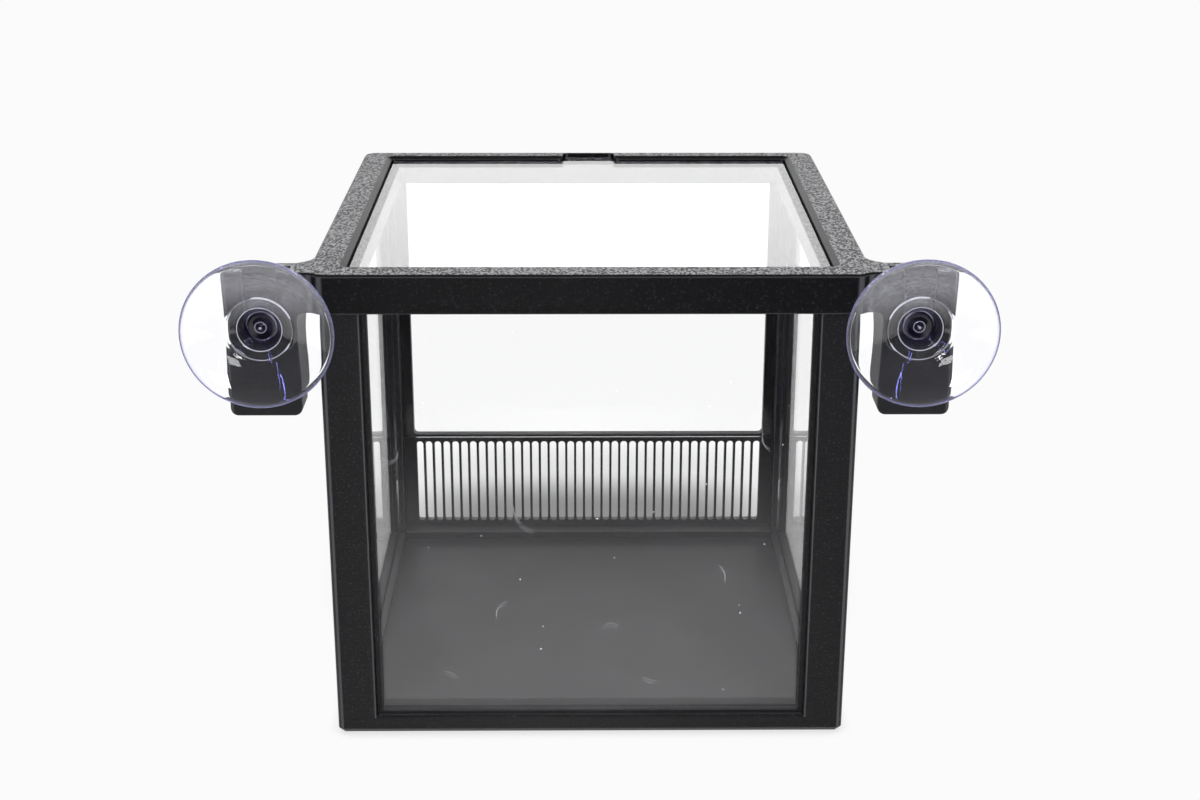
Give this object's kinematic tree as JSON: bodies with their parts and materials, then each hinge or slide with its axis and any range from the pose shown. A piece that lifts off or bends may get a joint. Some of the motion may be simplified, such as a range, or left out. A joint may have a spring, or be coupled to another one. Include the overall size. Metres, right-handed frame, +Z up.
{
  "type": "aquarium separation box",
  "caption": "Hang-in aquarium separation box: black printed frame, clear panes, slotted rear grille, lift-out clear lid and suction cups in side ears.",
  "frame": {"origin": "centre of the frame's footprint, on the flat underside that the box stands on", "axes": "+Z up, front with the suction cups towards -Y, grille towards +Y, +X to the right seen from the front"},
  "size_m": [0.1484, 0.1061, 0.099],
  "materials": {
    "frame_black": "printed, fine layer lines, matt",
    "rim_black": "printed, grainy sparkling top face, layer lines on the sides",
    "grille_black": "printed flat, matt",
    "clear_pane": "clear acrylic sheet",
    "clear_lid": "clear acrylic sheet",
    "clear_cup": "clear soft plastic"
  },
  "bodies": {
    "box": {"base_frame": "frame_black", "top_rim": "rim_black", "rear_grille": "grille_black", "front_pane": "clear_pane", "left_pane": "clear_pane", "right_pane": "clear_pane", "rear_pane": "clear_pane"},
    "lid": {"lid_pane": "clear_lid"},
    "left_cup": {"left_suction_cup": "clear_cup"},
    "right_cup": {"right_suction_cup": "clear_cup"}
  },
  "joints": [
    {"name": "lid_lift", "type": "slide", "parent": "box", "child": "lid", "axis": [0, 0, 1], "range_m": [0, 0.03]},
    {"name": "left_cup_slide", "type": "slide", "parent": "box", "child": "left_cup", "axis": [0, 0, 1], "range_m": [0, 0.016]},
    {"name": "right_cup_slide", "type": "slide", "parent": "box", "child": "right_cup", "axis": [0, 0, 1], "range_m": [0, 0.016]}
  ]
}
